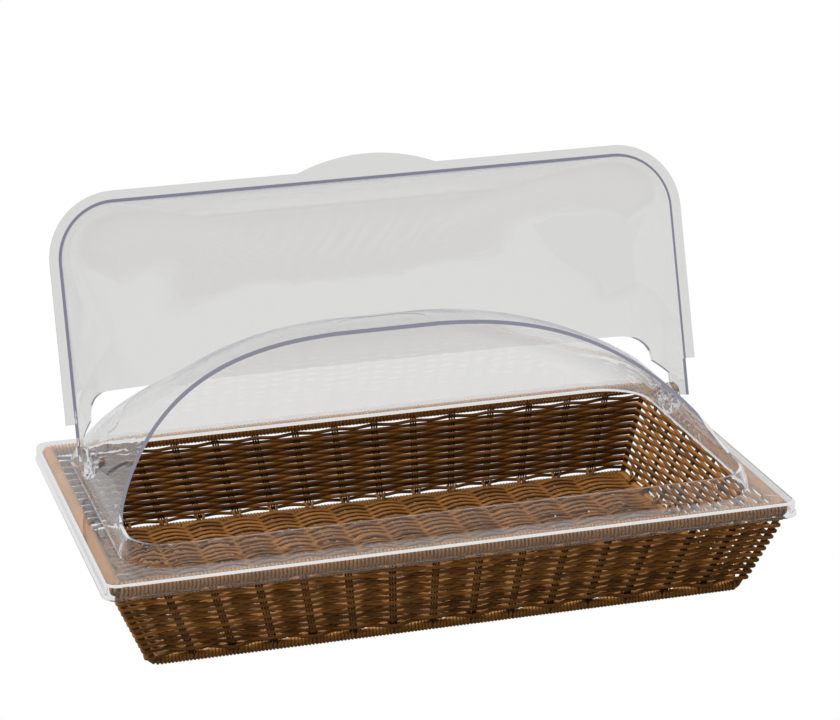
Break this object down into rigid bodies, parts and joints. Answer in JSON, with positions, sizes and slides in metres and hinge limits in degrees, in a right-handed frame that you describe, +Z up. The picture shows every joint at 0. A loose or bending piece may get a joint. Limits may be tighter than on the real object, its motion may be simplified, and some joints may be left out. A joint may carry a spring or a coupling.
{
  "type": "countertop bread display bin",
  "caption": "Woven countertop bread basket with sloping sides under a clear lift-off cover whose roll-top lid swings up and back on two side pins.",
  "frame": {"origin": "centre of the plane the basket stands on, under the middle of the bin", "axes": "+X along the long side to the right as seen from the open front, +Y to the back, +Z up"},
  "size_m": [0.5484, 0.3434, 0.3232],
  "materials": {
    "rattan_strand": "satin woven strand",
    "rattan_stake": "satin rod",
    "rattan_binding": "satin wound strand",
    "frame_wire": "plain drawn wire",
    "clear_cover": "clear moulded",
    "clear_lid": "clear moulded"
  },
  "bodies": {
    "basket": {"rim_wire": "frame_wire", "base_wire": "frame_wire", "rim_wrap_front": "rattan_binding", "rim_wrap_back": "rattan_binding", "rim_wrap_left": "rattan_binding", "rim_wrap_right": "rattan_binding", "base_wrap_front": "rattan_binding", "base_wrap_back": "rattan_binding", "base_wrap_left": "rattan_binding", "base_wrap_right": "rattan_binding", "corner_post_front_left": "rattan_binding", "corner_post_front_right": "rattan_binding", "corner_post_back_left": "rattan_binding", "corner_post_back_right": "rattan_binding", "stakes_front": "rattan_stake", "stakes_back": "rattan_stake", "stakes_left": "rattan_stake", "stakes_right": "rattan_stake", "stakes_floor": "rattan_stake", "weave_front": "rattan_strand", "weave_back": "rattan_strand", "weave_left": "rattan_strand", "weave_right": "rattan_strand", "weave_floor": "rattan_strand"},
    "cover": {"cover_base": "clear_cover"},
    "lid": {"lid": "clear_lid"}
  },
  "joints": [
    {"name": "cover_lift", "type": "slide", "parent": "basket", "child": "cover", "axis": [0, 0, 1], "range_m": [0, 0.15]},
    {"name": "lid_swing", "type": "hinge", "parent": "cover", "child": "lid", "pos_m": [0, 0.05, 0.102], "axis": [1, 0, 0], "range_deg": [0, 106]}
  ]
}
